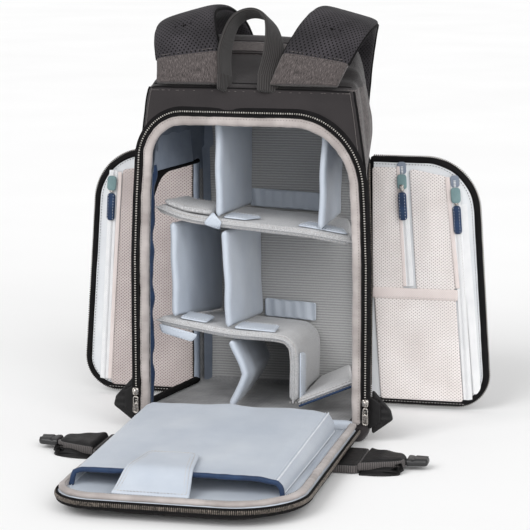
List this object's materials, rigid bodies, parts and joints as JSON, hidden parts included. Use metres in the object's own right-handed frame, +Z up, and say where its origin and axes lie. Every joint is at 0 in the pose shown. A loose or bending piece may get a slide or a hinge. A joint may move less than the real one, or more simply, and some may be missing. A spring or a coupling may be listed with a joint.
{
  "type": "camera backpack",
  "caption": "Camera backpack standing open: back panel with laptop sleeve folded down, side doors out, padded dividers, straps and hip belt.",
  "frame": {"origin": "middle of the main body's base, on the floor", "axes": "+Z up; -Y towards the harness side, whose panel lies open on the floor; +Y towards the bag's front; +X to the right when looking along +Y"},
  "size_m": [0.5506, 0.6303, 0.5246],
  "materials": {
    "charcoal_nylon": "matt coated nylon",
    "heather_weave": "heathered woven polyester",
    "black_nylon": "plain nylon with a slight sheen",
    "air_mesh": "padded spacer mesh",
    "webbing": "ribbed webbing",
    "padded_binding": "soft padded binding",
    "ribbed_loop_lining": "ribbed loop fabric",
    "divider_velvet": "brushed loop fabric over foam",
    "satin_lining": "smooth lining with a satin sheen",
    "navy_trim": "woven trim",
    "pale_mesh": "fine open mesh",
    "white_zip": "white zip tape",
    "bronze_coil": "dark coil zip",
    "silver_metal": "bright plated metal",
    "black_plastic": "moulded black plastic"
  },
  "bodies": {
    "pack": {"base_panel": "charcoal_nylon", "side_post_left": "charcoal_nylon", "side_post_right": "charcoal_nylon", "front_panel": "ribbed_loop_lining", "back_band": "charcoal_nylon", "hood_side_left": "heather_weave", "hood_side_right": "heather_weave", "hood_top": "charcoal_nylon", "front_pocket": "heather_weave", "opening_trim": "padded_binding", "main_zip": "black_nylon", "strap_anchor_left": "black_nylon", "strap_anchor_right": "black_nylon", "shelf_upper": "divider_velvet", "shelf_middle": "divider_velvet", "cell_floor": "divider_velvet", "divider_upper_left": "satin_lining", "divider_upper_right": "satin_lining", "divider_middle_left": "satin_lining", "divider_middle_right": "satin_lining", "divider_lower": "satin_lining", "hook_strip_upper": "satin_lining", "hook_strip_middle": "satin_lining"},
    "flap": {"flap_panel": "black_nylon", "back_pad": "air_mesh", "lumbar_pad": "air_mesh", "flap_trim": "padded_binding", "flap_zip": "bronze_coil", "laptop_sleeve": "satin_lining", "sleeve_binding": "navy_trim"},
    "sleeve_tab": {"sleeve_tab": "satin_lining"},
    "hip_belt_left": {"hip_belt_left": "black_nylon", "belt_buckle_left": "black_plastic"},
    "hip_belt_right": {"hip_belt_right": "black_nylon", "belt_buckle_right": "black_plastic"},
    "door_left": {"door_panel_left": "charcoal_nylon", "door_zip_left": "black_nylon", "door_pocket_left": "pale_mesh", "pocket_zip_left": "white_zip"},
    "door_right": {"door_panel_right": "charcoal_nylon", "door_zip_right": "black_nylon", "door_pocket_upper": "pale_mesh", "door_pocket_lower": "pale_mesh", "pocket_zip_inner": "white_zip", "pocket_zip_outer": "white_zip"},
    "pocket_slider_left": {"pocket_slider_left": "silver_metal"},
    "pocket_pull_left": {"pocket_pull_left": "navy_trim"},
    "pocket_slider_inner": {"pocket_slider_inner": "silver_metal"},
    "pocket_pull_inner": {"pocket_pull_inner": "navy_trim"},
    "pocket_slider_outer": {"pocket_slider_outer": "silver_metal"},
    "pocket_pull_outer": {"pocket_pull_outer": "navy_trim"},
    "main_slider_left": {"main_slider_left": "silver_metal"},
    "main_pull_left": {"main_pull_left": "silver_metal"},
    "main_slider_right": {"main_slider_right": "silver_metal"},
    "main_pull_right": {"main_pull_right": "silver_metal"},
    "shoulder_strap_left": {"shoulder_strap_left": "air_mesh", "strap_buckle_left": "black_plastic"},
    "shoulder_strap_right": {"shoulder_strap_right": "air_mesh", "strap_buckle_right": "black_plastic"},
    "grab_handle": {"grab_handle": "webbing"}
  },
  "joints": [
    {"name": "flap_hinge", "type": "hinge", "parent": "pack", "child": "flap", "pos_m": [0, -0.1035, 0.0235], "axis": [-1, 0, 0], "range_deg": [0, 90]},
    {"name": "sleeve_tab_hinge", "type": "hinge", "parent": "flap", "child": "sleeve_tab", "pos_m": [-0.024, -0.4645, 0.0265], "axis": [-1, 0, 0], "range_deg": [-100, 0]},
    {"name": "hip_belt_left_fold", "type": "hinge", "parent": "flap", "child": "hip_belt_left", "pos_m": [-0.1605, -0.196, 0.0155], "axis": [0, 1, 0], "range_deg": [0, 75]},
    {"name": "hip_belt_right_fold", "type": "hinge", "parent": "flap", "child": "hip_belt_right", "pos_m": [0.1605, -0.196, 0.0155], "axis": [0, -1, 0], "range_deg": [0, 75]},
    {"name": "door_left_hinge", "type": "hinge", "parent": "pack", "child": "door_left", "pos_m": [-0.112, 0.097, 0.006], "axis": [0, 0, 1], "range_deg": [0, 78]},
    {"name": "door_right_hinge", "type": "hinge", "parent": "pack", "child": "door_right", "pos_m": [0.112, 0.097, 0.006], "axis": [0, 0, -1], "range_deg": [0, 78]},
    {"name": "pocket_slider_left_slide", "type": "slide", "parent": "door_left", "child": "pocket_slider_left", "axis": [-0.0533, 0, -0.9986], "range_m": [0, 0.18]},
    {"name": "pocket_pull_left_swing", "type": "hinge", "parent": "pocket_slider_left", "child": "pocket_pull_left", "pos_m": [-0.23129, 0.0926, 0.26922], "axis": [-0.9986, 0, 0.0533], "range_deg": [0, 110]},
    {"name": "pocket_slider_inner_slide", "type": "slide", "parent": "door_right", "child": "pocket_slider_inner", "axis": [0.0624, 0, -0.9981], "range_m": [0, 0.08]},
    {"name": "pocket_pull_inner_swing", "type": "hinge", "parent": "pocket_slider_inner", "child": "pocket_pull_inner", "pos_m": [0.15592, 0.0886, 0.28323], "axis": [-0.9981, 0, -0.0624], "range_deg": [0, 110]},
    {"name": "pocket_slider_outer_slide", "type": "slide", "parent": "door_right", "child": "pocket_slider_outer", "axis": [0.0732, 0, -0.9973], "range_m": [0, 0.19]},
    {"name": "pocket_pull_outer_swing", "type": "hinge", "parent": "pocket_slider_outer", "child": "pocket_pull_outer", "pos_m": [0.22558, 0.0926, 0.26724], "axis": [-0.9973, 0, -0.0732], "range_deg": [0, 110]},
    {"name": "main_slider_left_slide", "type": "slide", "parent": "pack", "child": "main_slider_left", "axis": [0, 0, 1], "range_m": [0, 0.25]},
    {"name": "main_pull_left_swing", "type": "hinge", "parent": "main_slider_left", "child": "main_pull_left", "pos_m": [-0.1445, -0.1015, 0.0452], "axis": [-1, 0, 0], "range_deg": [0, 110]},
    {"name": "main_slider_right_slide", "type": "slide", "parent": "pack", "child": "main_slider_right", "axis": [0, 0, 1], "range_m": [0, 0.25]},
    {"name": "main_pull_right_swing", "type": "hinge", "parent": "main_slider_right", "child": "main_pull_right", "pos_m": [0.1445, -0.1015, 0.0452], "axis": [-1, 0, 0], "range_deg": [0, 110]},
    {"name": "shoulder_strap_left_swing", "type": "hinge", "parent": "pack", "child": "shoulder_strap_left", "pos_m": [-0.074, -0.096, 0.4385], "axis": [1, 0, 0], "range_deg": [0, 95]},
    {"name": "shoulder_strap_right_swing", "type": "hinge", "parent": "pack", "child": "shoulder_strap_right", "pos_m": [0.066, -0.096, 0.4385], "axis": [1, 0, 0], "range_deg": [0, 95]},
    {"name": "grab_handle_swing", "type": "hinge", "parent": "pack", "child": "grab_handle", "pos_m": [-0.004, -0.094, 0.444], "axis": [1, 0, 0], "range_deg": [-30, 85]}
  ]
}
